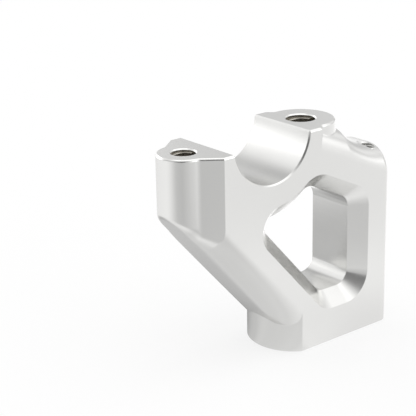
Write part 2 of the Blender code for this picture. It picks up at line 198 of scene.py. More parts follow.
class Socket:
    """A node's output that takes part in sums, as a number does."""

    def __init__(self, book: "NodeBook", output: bpy.types.NodeSocket) -> None:
        """Keep the output and the tree that it is in."""
        self.book = book
        self.output = output

    def _math(self, operation: str, *values: "Operand") -> "Socket":
        """Add a Math node for an operation on values."""
        return self.book.node("ShaderNodeMath", {"operation": operation}, dict(enumerate(values)))

    def __add__(self, other: "Operand") -> "Socket":
        """Sum."""
        return self._math("ADD", self, other)

    def __sub__(self, other: "Operand") -> "Socket":
        """Difference."""
        return self._math("SUBTRACT", self, other)

    def __rsub__(self, other: "Operand") -> "Socket":
        """Difference from a number."""
        return self._math("SUBTRACT", other, self)

    def __mul__(self, other: "Operand") -> "Socket":
        """Product."""
        return self._math("MULTIPLY", self, other)

    def __truediv__(self, other: "Operand") -> "Socket":
        """Quotient."""
        return self._math("DIVIDE", self, other)

    def __rtruediv__(self, other: "Operand") -> "Socket":
        """Quotient of a number."""
        return self._math("DIVIDE", other, self)

    def below(self, limit: "Operand") -> "Socket":
        """1 where the value is below the limit, and 0 elsewhere."""
        return self._math("LESS_THAN", self, limit)

    def fade(self, start: float, stop: float, low: float = 0.0, high: float = 1.0) -> "Socket":
        """Soft step of the value, from low at start to high at stop."""
        return self.book.node("ShaderNodeMapRange", {"interpolation_type": "SMOOTHSTEP"}, {
            "Value": self, "From Min": start, "From Max": stop, "To Min": low, "To Max": high})

    __radd__ = __add__
    __rmul__ = __mul__


Operand = Union[Socket, float, int, tuple]


@dataclass
class NodeBook:
    """A node tree in the making."""

    tree: bpy.types.NodeTree

    @classmethod
    def of(cls, owner: bpy.types.ID) -> "NodeBook":
        """Empty the node tree of a new material or world.

        Args:
            owner: The material or world.

        Returns:
            A book on its tree.
        """
        owner.use_nodes = True
        owner.node_tree.nodes.clear()
        return cls(owner.node_tree)

    def node(self, kind: str, settings: dict[str, Setting], inputs: dict[int | str, Operand],
             output: int | str = 0) -> Socket:
        """Add a node.

        Args:
            kind: The node's type.
            settings: The node's own properties, which are set first.
            inputs: Values or links of its sockets, by name or number.
            output: The output to hand back, by name or number.

        Returns:
            The output.
        """
        made = self.tree.nodes.new(kind)
        for name, value in settings.items():
            setattr(made, name, value)
        for key, value in inputs.items():
            if isinstance(value, Socket):
                self.tree.links.new(value.output, made.inputs[key])
            else:
                made.inputs[key].default_value = value
        return Socket(self, made.outputs[output])

    def vector(self, operation: str, *values: Operand, output: int | str = 0) -> Socket:
        """Add a Vector Math node for an operation on values."""
        return self.node("ShaderNodeVectorMath", {"operation": operation}, dict(enumerate(values)), output)

    def end(self, kind: str, inputs: dict[int | str, Operand]) -> None:
        """Add a closing node, which has no output.

        Args:
            kind: The node's type.
            inputs: Links of its sockets, by name or number.
        """
        made = self.tree.nodes.new(kind)
        for key, value in inputs.items():
            self.tree.links.new(value.output, made.inputs[key])


@dataclass(frozen=True)
class PostPlan:
    """A post seen from above: a round boss, a hollow neck and a flat flare.

    The plan is drawn with its tip at -X. Only its near half, at -Y, is drawn.
    """

    centre_x: float
    radius: float
    neck_deg: float
    neck_fillet: float
    flare_deg: float
    half_width: float
    boss_steps: int = 44
    neck_steps: int = 12
    flare_steps: int = 14

    @property
    def flare_normal(self) -> Vector:
        """The way the near flare faces."""
        slope = math.radians(self.flare_deg)
        return Vector((-math.sin(slope), -math.cos(slope)))

    def curved(self) -> tuple[list[Vector], list[Vector]]:
        """Points and outward normals of the boss and the neck.

        Returns:
            The points from the tip to the start of the flare, and their normals.
        """
        neck = math.radians(self.neck_deg)
        centre = Vector((self.centre_x, 0.0))
        points = arc(centre, self.radius, math.pi, math.pi + neck, self.boss_steps)
        normals = [(point - centre).normalized() for point in points]
        hollow = centre + normals[-1] * (self.radius + self.neck_fillet)
        start = math.atan2(-normals[-1].y, -normals[-1].x)
        stop = math.atan2(-self.flare_normal.y, -self.flare_normal.x)
        bend = arc(hollow, self.neck_fillet, start, stop, self.neck_steps)[1:]
        points += bend
        normals += [(hollow - point).normalized() for point in bend]
        return points, normals

    def crease(self, start: Vector) -> Vector:
        """Point where the flare, which begins at start, meets the side face."""
        run = (self.half_width + start.y) / math.tan(math.radians(self.flare_deg))
        return Vector((start.x + run, -self.half_width))

    def half(self) -> tuple[list[Vector], list[Vector]]:
        """Draw the whole near half, up to the crease.

        Returns:
            The points from the tip to the crease, and their outward normals.
        """
        points, normals = self.curved()
        start = points[-1]
        crease = self.crease(start)
        steps = range(1, self.flare_steps + 1)
        points += [start.lerp(crease, index / self.flare_steps) for index in steps]
        return points, normals + [self.flare_normal] * self.flare_steps


@dataclass(frozen=True)
class Sizes:
    """Driving sizes of the riser, as its source has them."""

    cradle_radius: float = 0.0160
    bar_axis_z: float = 0.0789
    half: float = 0.01375
    chamfer: float = 0.0005
    front_top_z: float = 0.0760
    front_hole_x: float = -0.0256
    rear_top_z: float = 0.07775
    rear_hole_x: float = 0.02465
    strut_foot_x: float = 0.01586
    front_post_height: float = 0.0200
    tip_rounding: float = 0.0025
    neck_rounding: float = 0.0048
    side_rounding: float = 0.0082
    nose_centre_x: float = 0.0215
    nose_radius: float = 0.0161
    rear_face_x: float = 0.0545
    front_boss_inset: float = 0.00495
    front_neck_deg: float = 79.05
    front_neck_fillet: float = 0.0030
    front_flare_deg: float = 38.5
    rear_boss_inset: float = 0.00205
    rear_neck_deg: float = 93.1
    rear_neck_fillet: float = 0.0014
    rear_flare_deg: float = 45.0
    overlap: float = 0.0010
    cut_past: float = 0.0020
    lip_radius: float = 0.0009
    lip_steps: int = 8

    @property
    def lip(self) -> list[tuple[float, float]]:
        """Profile of a post's top rim, a chamfer that turns softly into the wall.

        Returns:
            How far in and how far down each of its rings lies.
        """
        turn = math.pi / 4
        flat = self.chamfer - self.lip_radius * (1 - math.cos(turn))
        pairs = [(self.chamfer, 0.0)]
        for step in range(self.lip_steps + 1):
            angle = turn * (1 - step / self.lip_steps)
            drop = flat + self.lip_radius * (math.sin(turn) - math.sin(angle))
            pairs.append((self.lip_radius * (1 - math.cos(angle)), drop))
        return pairs

    def rim(self, outline: Sequence[Vector], top_z: float) -> list[Loop]:
        """Near halves of a post's top rings, from the top face to the wall.

        Args:
            outline: The wall's near half in plan, from the tip to the cut end.
            top_z: The top face's height.

        Returns:
            The rings.
        """
        whole = both_sides(outline)
        faces_back = outline[0].x > outline[-1].x
        whole = list(reversed(whole)) if faces_back else whole
        rings = []
        for amount, drop in self.lip:
            moved = inset(whole, amount)
            moved = (list(reversed(moved)) if faces_back else moved)[len(outline) - 1:]
            moved[0].y = 0.0
            moved[-1] = Vector((outline[-1].x, amount - self.half))
            rings.append(level(moved, top_z - drop))
        return rings

    @property
    def front_plan(self) -> PostPlan:
        """The front post's plan."""
        return PostPlan(self.front_hole_x, self.half - self.front_boss_inset, self.front_neck_deg,
                        self.front_neck_fillet, self.front_flare_deg, self.half)

    @property
    def rear_plan(self) -> PostPlan:
        """The rear post's plan, drawn with its tip at -X."""
        return PostPlan(-self.rear_hole_x, self.half - self.rear_boss_inset, self.rear_neck_deg,
                        self.rear_neck_fillet, self.rear_flare_deg, self.half)

    @property
    def strut_angle(self) -> float:
        """Slope of the strut's underside, from its foot to the front post."""
        tip_x = self.front_hole_x - self.front_plan.radius
        return math.atan2(self.front_top_z - self.front_post_height, self.strut_foot_x - tip_x)

    @property
    def strut_down(self) -> Vector:
        """The way the strut's underside faces."""
        return Vector((-math.sin(self.strut_angle), 0.0, -math.cos(self.strut_angle)))

    @property
    def column_x(self) -> float:
        """Where the rear column starts, just behind the nose's crease."""
        crease = self.nose_centre_x - math.sqrt(self.nose_radius ** 2 - self.half ** 2)
        return crease + 2 * self.overlap

    @property
    def to_frame(self) -> Matrix:
        """Move from the handlebar's axis to the frame's origin, mid-base."""
        middle = (self.nose_centre_x - self.nose_radius + self.rear_face_x) / 2
        return Matrix.Translation((-middle, 0.0, 0.0))

    def strut_z(self, x: float) -> float:
        """Height of the strut's underside on the middle plane."""
        return (self.strut_foot_x - x) * math.tan(self.strut_angle)


@dataclass(frozen=True)
class Collar:
    """A hollow fillet where one of the body's solids grows out of another.

    It is tight at a crease, where share is 0, and full away from it.
    """

    radius: float
    least: float = 0.05
    steps: int = 8

    def sweep(self, centre: Vector, start: Vector, stop: Vector, share: float) -> list[Vector]:
        """Arc of the fillet between two directions from the ball's centre."""
        size = self.size(share)
        return [centre + start.slerp(stop, step / self.steps) * size for step in range(self.steps + 1)]

    def size(self, share: float) -> float:
        """The fillet's radius at a share of its full growth."""
        return self.radius * max(min(share, 1.0), self.least)


@dataclass(frozen=True)
class FrontSolid:
    """Front post and strut, with upright walls and a rounded underside."""

    sizes: Sizes
    round_steps: int = 26
    side_steps: int = 36

    def rounded(self, point: Vector, normal: Vector, radius: float, gamma: float) -> Vector:
        """Point on the strut's rounded lower edge, below a point of the wall.

        Args:
            point: The wall's point in plan.
            normal: The wall's outward normal.
            radius: The rounding's radius there.
            gamma: The angle left between the surface's and the underside's normal.

        Returns:
            The point in space.
        """
        down = self.sizes.strut_down
        wall = Vector((normal.x, normal.y, 0.0))
        alpha = wall.angle(down)
        beta = max(alpha - gamma, 0.0)
        direction = (wall * math.sin(alpha - beta) + down * math.sin(beta)) / math.sin(alpha)
        x = point.x + radius * (direction.x - normal.x)
        y = point.y + radius * (direction.y - normal.y)
        rise = radius * (1.0 - math.cos(gamma)) / math.cos(self.sizes.strut_angle)
        return Vector((x, y, self.sizes.strut_z(x) + rise))

    def row(self, gamma: float) -> Loop:
        """Draw one line round the strut, at one angle of rounding.

        Args:
            gamma: The angle left between the surface's and the underside's normal.

        Returns:
            The line's near half, from the tip to the column.
        """
        s, plan = self.sizes, self.sizes.front_plan
        curved, normals = plan.curved()
        last = len(curved) - 1
        growth = s.neck_rounding - s.tip_rounding
        radii = [s.tip_rounding + growth * (index / last) ** 2 for index in range(last + 1)]
        points = [self.rounded(*column, gamma) for column in zip(curved, normals, radii)]
        side_end = Vector((s.column_x + s.overlap, -s.half))
        end = self.rounded(side_end, Vector((0.0, -1.0)), s.side_rounding, gamma)
        flare = plan.flare_normal
        corner = self.rounded(plan.crease(curved[-1]), flare, s.side_rounding, gamma)
        mitre_x = corner.x + (corner.y - end.y) / flare.x * flare.y
        start = points[-1]
        start_rise, side_rise = start.z - s.strut_z(start.x), end.z - s.strut_z(end.x)
        for index in range(1, plan.flare_steps + 1):
            share = index / plan.flare_steps
            x = start.x + (mitre_x - start.x) * share
            y = start.y + (end.y - start.y) * share
            points.append(Vector((x, y, s.strut_z(x) + start_rise + (side_rise - start_rise) * share)))
        for index in range(1, self.side_steps + 1):
            x = mitre_x + (end.x - mitre_x) * index / self.side_steps
            points.append(Vector((x, end.y, s.strut_z(x) + side_rise)))
        return points

    def build(self) -> bpy.types.Object:
        """Build the solid from its chamfered top to its underside.

        Returns:
            The solid.
        """
        s = self.sizes
        angles = [math.pi / 2 * (1 - step / self.round_steps) for step in range(self.round_steps + 1)]
        rows = [self.row(gamma) for gamma in angles]
        outline = [Vector((point.x, point.y)) for point in rows[0]]
        return loft("front", [both_sides(row) for row in s.rim(outline, s.front_top_z) + rows])


@dataclass(frozen=True)
class NoseSolid:
    """Round nose of the base, with a hollow fillet up to the strut."""

    sizes: Sizes
    collar: Collar = Collar(0.0012)
    steps: int = 120
    fade_deg: float = 14.0

    def column(self, point: Vector, normal: Vector, share: float) -> Loop:
        """Fillet from the nose's wall to the strut, at one point of the outline.

        Args:
            point: The nose's point in plan.
            normal: The nose's outward normal.
            share: How far the fillet has grown there, up to 1.

        Returns:
            The fillet's points, the last of which lies inside the strut.
        """
        s = self.sizes
        fillet = self.collar.size(share)
        ball = point + normal * fillet
        side = max(abs(ball.y) - (s.half - s.side_rounding), 0.0)
        lean = math.asin(side / (s.side_rounding + fillet))
        below = (s.side_rounding + fillet) * math.cos(lean) - s.side_rounding
        centre = Vector((ball.x, ball.y, s.strut_z(ball.x) - below / math.cos(s.strut_angle)))
        sideways = Vector((0.0, math.copysign(math.sin(lean), ball.y), 0.0))
        roof = -(s.strut_down * math.cos(lean) + sideways)
        points = self.collar.sweep(centre, Vector((-normal.x, -normal.y, 0.0)), roof, share)
        return points + [points[-1] + roof * s.overlap]

    def build(self) -> bpy.types.Object:
        """Build the solid from the chamfered foot to inside the strut.

        Returns:
            The solid.
        """
        s = self.sizes
        limit = math.asin(s.half / s.nose_radius)
        centre = Vector((s.nose_centre_x, 0.0))
        outline = arc(centre, s.nose_radius, math.pi - limit, math.pi + limit, self.steps)
        columns = []
        for index, point in enumerate(outline):
            left = limit - abs(2 * index / self.steps - 1) * limit
            share = left / math.radians(self.fade_deg)
            columns.append(self.column(point, (point - centre).normalized(), share))
        end_x = s.column_x + 3 * s.overlap
        corners = [Vector((end_x, -s.half)), Vector((end_x, s.half))]
        foot = inset(outline + corners, s.chamfer)
        foot[-2] = Vector((end_x, s.chamfer - s.half))
        foot[-1] = Vector((end_x, s.half - s.chamfer))
        rings = [level(foot, 0.0), level(outline + corners, s.chamfer)]
        rings += [list(row) + level(corners, row[-1].z) for row in zip(*columns)]
        return loft("nose", rings)


@dataclass(frozen=True)
class ArmSolid:
    """Rear column and the arm on top of it, lofted along X."""

    sizes: Sizes
    corner_radius: float = 0.0025
    top_radius: float = 0.0012
    low_drop: float = 0.0144
    shoulder_drop: float = 0.0095
    shoulder_deg: float = 23.6
    sweep_radius: float = 0.0300
    sweep_past_face: float = 0.0025
    edge_width: float = 0.0104
    root_drop: float = 0.00205
    arm_steps: int = 80
    corner_steps: int = 16
    edge_steps: int = 40
    touch_turns: int = 8
    search_steps: int = 24
    nudge: float = 1e-5

    @property
    def low_z(self) -> float:
        """Height of the arm's ridge at the rear face."""
        return self.sizes.bar_axis_z - self.low_drop

    @property
    def flat(self) -> float:
        """Half the width of the arm's level ridge."""
        return self.sizes.half - self.edge_width

    def drop(self, x: float, radius: float) -> float:
        """How far a rounded rear edge has fallen back at x."""
        run = max(x - (self.sizes.rear_face_x - radius), 0.0)
        return radius - math.sqrt(max(radius ** 2 - run ** 2, 0.0))

    def shoulder(self, x: float) -> float:
        """Height at which the arm's rounded side leaves the flat side face."""
        slope = math.tan(math.radians(self.shoulder_deg))
        return self.low_z - self.shoulder_drop + (self.sizes.rear_face_x - x) * slope

    def rise(self, x: float) -> float:
        """Height of the arm's ridge above its shoulder.

        Args:
            x: The place along X.

        Returns:
            The height, at most the rounded side's width.
        """
        run = self.sizes.rear_face_x + self.sweep_past_face - x
        centre = self.low_z + math.sqrt(self.sweep_radius ** 2 - self.sweep_past_face ** 2)
        ridge = centre - math.sqrt(max(self.sweep_radius ** 2 - run ** 2, 0.0))
        return min(ridge - self.shoulder(x), self.edge_width)

    def section(self, x: float) -> Loop:
        """Draw the column and the arm, cut through at x.

        Args:
            x: The place along X.

        Returns:
            The closed section.
        """
        s = self.sizes
        width = s.half - self.drop(x, self.corner_radius)
        rise = self.rise(x) - self.drop(x, self.top_radius)
        foot = s.chamfer if x > s.rear_face_x - MERGE else 0.0
        near = [Vector((x, 0.0, foot)), Vector((x, s.chamfer - width, foot)),
                Vector((x, -width, foot + s.chamfer))]
        for index in range(self.edge_steps + 1):
            angle = index / self.edge_steps * math.pi / 2
            y = -self.flat - (width - self.flat) * math.cos(angle)
            z = min(self.shoulder(x) + rise * math.sin(angle), s.rear_top_z - self.root_drop)
            near.append(Vector((x, y, z)))
        far = [Vector((point.x, -point.y, point.z)) for point in reversed(near[1:])]
        return near + far

    def touch(self, x: float, y: float, ball: float) -> tuple[Vector, Vector]:
        """Where a ball, above x and y, rests on the near side of the arm.

        Args:
            x: The ball's place along X.
            y: The ball's place along Y.
            ball: The ball's radius.

        Returns:
            The ball's centre, and the arm's normal where it touches.
        """
        touch_x, angle = x, math.pi / 2
        normal = Vector((0.0, 0.0, 1.0))
        slope = -math.tan(math.radians(self.shoulder_deg))
        for _ in range(self.touch_turns):
            rise = self.rise(touch_x)
            growth = (self.rise(touch_x + self.nudge) - rise) / self.nudge
            low, high = 0.0, math.pi / 2
            for _ in range(self.search_steps):
                angle = (low + high) / 2
                upright = math.sin(angle)
                normal = Vector((-(slope + growth * upright) * upright,
                                 -rise / self.edge_width * math.cos(angle), upright)).normalized()
                reached = -self.flat - self.edge_width * math.cos(angle) + ball * normal.y
                low, high = (angle, high) if reached < y else (low, angle)
            touch_x = x - ball * normal.x
        height = self.shoulder(touch_x) + self.rise(touch_x) * math.sin(angle)
        return Vector((x, y, height + ball * normal.z)), normal

    def build(self) -> bpy.types.Object:
        """Build the solid from behind the nose to the rear face.

        Returns:
            The solid.
        """
        s = self.sizes
        flat_end = s.rear_face_x - self.corner_radius
        run = flat_end - s.column_x
        stations = [s.column_x + run * index / self.arm_steps for index in range(self.arm_steps)]
        for index in range(self.corner_steps + 1):
            angle = index / self.corner_steps * math.pi / 2
            stations.append(flat_end + self.corner_radius * math.sin(angle))
        return loft("column", [self.section(x) for x in stations])


@dataclass(frozen=True)
class RearPostSolid:
    """Rear post, with a hollow fillet down to the arm."""

    sizes: Sizes
    arm: ArmSolid
    collar: Collar = Collar(0.0012, 0.15)
    depth: float = 0.0200

    def column(self, point: Vector, normal: Vector, share: float) -> Loop:
        """Fillet from the arm up to the post's wall, at one point of the outline.

        Args:
            point: The post's point in plan.
            normal: The post's outward normal.
            share: How far the fillet has grown there, up to 1.

        Returns:
            The fillet's points, the first of which lies inside the arm.
        """
        size = self.collar.size(share)
        ball = point + normal * size
        centre, up = self.arm.touch(ball.x, ball.y, size)
        points = self.collar.sweep(centre, -up, Vector((-normal.x, -normal.y, 0.0)), share)
        return [points[0] - up * self.sizes.overlap] + points

    def build(self) -> bpy.types.Object:
        """Build the solid from inside the arm to the chamfered top.

        Returns:
            The solid.
        """
        s = self.sizes
        start_x = s.cradle_radius - 4 * s.overlap
        plan, normals = s.rear_plan.half()
        last = len(plan) - 1
        columns = []
        for index, (point, normal) in enumerate(zip(plan, normals)):
            turned = Vector((-point.x, point.y)), Vector((-normal.x, normal.y))
            columns.append(self.column(*turned, (last - index) / s.rear_plan.flare_steps))
        outline = [Vector((-point.x, point.y)) for point in plan] + [Vector((start_x, -s.half))]
        rows = [level(outline, s.rear_top_z - self.depth)]
        rows += [list(row) + [Vector((start_x, -s.half, row[-1].z))] for row in zip(*columns)]
        rows += list(reversed(s.rim(outline, s.rear_top_z)))
        return loft("rear_post", [both_sides(row) for row in rows])


@dataclass(frozen=True)
class CradleCut:
    """Half-round bed for the handlebar."""

    sizes: Sizes
    steps: int = 160

    def profile(self, grow: float) -> list[Vector]:
        """Outline of the bar's space in the XZ plane.

        Args:
            grow: How far the bed is moved outwards.

        Returns:
            The outline's points.
        """
        s = self.sizes
        radius = s.cradle_radius + grow
        front = math.asin((s.front_top_z - s.chamfer - s.bar_axis_z) / radius)
        rear = math.asin((s.rear_top_z - s.chamfer - s.bar_axis_z) / radius)
        bed = arc(Vector((0.0, s.bar_axis_z)), radius, -math.pi - front, rear, self.steps)
        lean = s.chamfer + s.cut_past
        high = s.bar_axis_z + s.cradle_radius
        return bed + [bed[-1] + Vector((lean, lean)), Vector((bed[-1].x + lean, high)),
                      Vector((bed[0].x - lean, high)), bed[0] + Vector((-lean, lean))]


@dataclass(frozen=True)
class WindowCut:
    """Five-sided window through both sides, with rounded corners."""

    sizes: Sizes
    floor_z: float = 0.01740
    rear_wall: float = 0.0155
    roof_deg: float = 25.3
    roof_drop: float = 0.03055
    cradle_wall: float = 0.0131
    strut_thickness: float = 0.01876
    corner: float = 0.0050
    front_corner: float = 0.0035
    step_deg: float = 2.5

    def turn(self, centre: Vector, radius: float, start: Vector, stop: Vector) -> list[Vector]:
        """Arc from one direction to another, anticlockwise.

        Args:
            centre: The arc's centre.
            radius: Its radius.
            start: The direction of its first point.
            stop: The direction of its last point.

        Returns:
            The arc's points.
        """
        one = math.atan2(start.y, start.x)
        sweep = (math.atan2(stop.y, stop.x) - one) % (2 * math.pi)
        return arc(centre, radius, one, one + sweep, math.ceil(math.degrees(sweep) / self.step_deg))

    @staticmethod
    def between(one: tuple[Vector, Vector], two: tuple[Vector, Vector], radius: float) -> Vector:
        """Find the corner arc that touches two straight sides.

        Args:
            one: A point of the first side, and its outward normal.
            two: A point of the second side, and its outward normal.
            radius: The arc's radius.

        Returns:
            The arc's centre.
        """
        (point, normal), (other, facing) = one, two
        a, b = point.dot(normal) - radius, other.dot(facing) - radius
        det = normal.x * facing.y - normal.y * facing.x
        return Vector(((a * facing.y - b * normal.y) / det, (normal.x * b - facing.x * a) / det))

    def beside_bed(self, line: tuple[Vector, Vector], radius: float, bed: float) -> Vector:
        """Find the corner arc that touches a straight side and the bed's wall.

        Args:
            line: A point of the side, and its outward normal.
            radius: The arc's radius.
            bed: The outer radius of the wall round the bed.

        Returns:
            The arc's centre.
        """
        point, normal = line
        start = point - normal * radius
        run = Vector((-normal.y, normal.x))
        run *= -math.copysign(1.0, run.x)
        offset = start - Vector((0.0, self.sizes.bar_axis_z))
        part = offset.dot(run)
        return start + run * (-part - math.sqrt(part ** 2 - offset.length_squared + (bed + radius) ** 2))

    def profile(self, grow: float) -> list[Vector]:
        """Outline in the XZ plane.

        Args:
            grow: How far it is moved outwards.

        Returns:
            The outline's points.
        """
        s = self.sizes
        rear_x = s.rear_face_x - self.rear_wall
        roof_angle = math.radians(self.roof_deg)
        down, back = Vector((0.0, -1.0)), Vector((1.0, 0.0))
        roof = Vector((math.sin(roof_angle), math.cos(roof_angle)))
        strut = Vector((s.strut_down.x, s.strut_down.z))
        axis = Vector((0.0, s.bar_axis_z))
        bed = s.cradle_radius + self.cradle_wall - grow
        corner, front = self.corner + grow, self.front_corner + grow
        floor_line = Vector((0.0, self.floor_z)) + down * grow, down
        rear_line = Vector((rear_x, 0.0)) + back * grow, back
        roof_line = Vector((rear_x, s.bar_axis_z - self.roof_drop)) + roof * grow, roof
        strut_line = Vector((s.strut_foot_x, 0.0)) + strut * (grow - self.strut_thickness), strut
        roof_bed = self.beside_bed(roof_line, corner, bed)
        strut_bed = self.beside_bed(strut_line, front, bed)
        points = self.turn(self.between(floor_line, strut_line, corner), corner, strut, down)
        points += self.turn(self.between(floor_line, rear_line, corner), corner, down, back)
        points += self.turn(self.between(rear_line, roof_line, corner), corner, back, roof)
        points += self.turn(roof_bed, corner, roof, axis - roof_bed)
        points += list(reversed(self.turn(axis, bed, strut_bed - axis, roof_bed - axis)))[1:-1]
        return points + self.turn(strut_bed, front, axis - strut_bed, strut)


@dataclass(frozen=True)
class Screw:
    """Core and outer diameter of a metric screw, and its pitch."""

    core: float
    major: float
    pitch: float


M5 = Screw(0.0042, 0.0050, 0.0008)
M8 = Screw(0.0068, 0.0080, 0.00125)
M10 = Screw(0.0085, 0.0100, 0.0015)


@dataclass(frozen=True)
class TappedHole:
    """A blind tapped hole: a chamfered mouth, a bore, a drill point and a thread.

    The bore is as wide as the screw, and the thread's ridge stands in it. Its
    painted shade, up to 1, is how much of the finish's darker colour for painted shade it takes in its bore.
    """

    name: str
    mouth: Vector
    way: Way
    screw: Screw
    mouth_chamfer: float
    depth: float
    segments: int = 120
    drill_deg: float = 31.0
    steps_a_turn: int = 72
    mask_margin: float = 0.0002
    # How far the bore's colour is painted darker, as shade: 1 for full, 0 for none.
    painted_shade: float = 1.0

    @property
    def rim(self) -> float:
        """Radius of the mouth's chamfer at its widest."""
        return self.screw.core / 2 + self.mouth_chamfer

    @property
    def point_depth(self) -> float:
        """Length of the drill point below the bore."""
        return self.screw.major / 2 * math.tan(math.radians(self.drill_deg))

    def inside(self, place: Socket, to_frame: Matrix) -> Socket:
        """Shader mask of the painted shade in the hole's bore below its mouth.

        Args:
            place: The point, in Object coordinates.
            to_frame: The move to the frame's origin.

        Returns:
            The hole's share of painted shade in the bore, and 0 elsewhere.
        """
        book, radius = place.book, self.screw.major / 2
        offset = book.vector("SUBTRACT", place, to_frame @ self.mouth)
        flat = book.vector("MULTIPLY", offset, (1.0, 1.0, 0.0))
        across = book.vector("LENGTH", flat, output="Value")
        into = (0.0, 0.0, float(self.way.value))
        deep = book.vector("DOT_PRODUCT", offset, into, output="Value")
        start = self.rim - radius + self.mask_margin / 2
        stop = self.depth + self.point_depth + self.mask_margin
        wide = radius + self.mask_margin
        return across.below(wide) * (1.0 - deep.below(start)) * deep.below(stop) * self.painted_shade

    def cutter(self, past: float) -> bpy.types.Object:
        """The hole's solid.

        Args:
            past: How far it stands out of the metal.

        Returns:
            The cutter.
        """
        radius = self.screw.major / 2
        rings = []
        for down, size in ((-past, self.rim + past), (self.rim - radius, radius), (self.depth, radius)):
            circle = arc(Vector((self.mouth.x, self.mouth.y)), size, 0.0, 2 * math.pi, self.segments)[:-1]
            rings.append(level(circle, self.mouth.z + self.way.value * down))
        end = self.mouth + Vector((0.0, 0.0, self.way.value * (self.depth + self.point_depth)))
        return loft(self.name + "_cutter", rings, end)

    def thread(self, tree: bpy.types.GeometryNodeTree, finish: bpy.types.Material) -> bpy.types.Object:
        """The thread's ridge, made by the thread tree.

        Args:
            tree: The Geometry Nodes tree.
            finish: The ridge's material.

        Returns:
            The ridge as a plain mesh.
        """
        core, major, pitch = self.screw.core, self.screw.major, self.screw.pitch
        turns = (self.depth - 2 * pitch) / pitch
        values = {"Turns": turns, "Pitch": pitch, "Radius": major / 2, "Ridge Height": (major - core) / 2,
                  "Steps": self.steps_a_turn, "Finish": finish}
        item = add(self.name + "_thread", bpy.data.meshes.new(self.name + "_thread"))
        modifier = item.modifiers.new("thread", "NODES")
        modifier.node_group = tree
        for socket in tree.interface.items_tree:
            if socket.in_out == "INPUT" and socket.name in values:
                modifier[socket.identifier] = values[socket.name]
        settle(item)
        low = self.depth - pitch if self.way is Way.DOWN else -pitch
        item.data.transform(Matrix.Translation(self.mouth - Vector((0.0, 0.0, low))))
        heal(item, MERGE)
        return item


@dataclass(frozen=True)
class ThreadTree:
    """Geometry Nodes that wind a thread's ridge round a hole's axis."""

    root_share: float = 0.95
    crest_share: float = 0.22
    sink: float = 0.0001

    def build(self) -> bpy.types.GeometryNodeTree:
        """Build the tree, with its sizes as named inputs.

        Returns:
            The tree.
        """
        tree = bpy.data.node_groups.new("thread_ridge", "GeometryNodeTree")
        book = NodeBook(tree)
        kinds = {"Turns": "NodeSocketFloat", "Pitch": "NodeSocketFloat", "Radius": "NodeSocketFloat",
                 "Ridge Height": "NodeSocketFloat", "Steps": "NodeSocketInt", "Finish": "NodeSocketMaterial"}
        for name, kind in kinds.items():
            tree.interface.new_socket(name, in_out="INPUT", socket_type=kind)
        tree.interface.new_socket("Mesh", in_out="OUTPUT", socket_type="NodeSocketGeometry")
        sizes = {name: book.node("NodeGroupInput", {}, {}, name) for name in kinds}
        turns, pitch = sizes["Turns"], sizes["Pitch"]
        height = sizes["Ridge Height"] + self.sink
        spine = sizes["Radius"] + self.sink - height / 2
        helix = book.node("GeometryNodeCurveSpiral", {}, {
            "Resolution": sizes["Steps"], "Rotations": turns, "Start Radius": spine,
            "End Radius": spine, "Height": turns * pitch})
        upright = book.node("GeometryNodeSetCurveNormal", {"mode": "Z_UP"}, {"Curve": helix})
        ridge = book.node("GeometryNodeCurvePrimitiveQuadrilateral", {"mode": "TRAPEZOID"}, {
            "Bottom Width": pitch * self.root_share, "Top Width": pitch * self.crest_share,
            "Offset": 0.0, "Height": height})
        wound = book.node("GeometryNodeCurveToMesh", {}, {
            "Curve": upright, "Profile Curve": ridge, "Fill Caps": True})
        plain = book.node("GeometryNodeRealizeInstances", {}, {0: wound})
        dressed = book.node("GeometryNodeSetMaterial", {}, {"Geometry": plain, "Material": sizes["Finish"]})
        book.end("NodeGroupOutput", {0: dressed})
        return tree


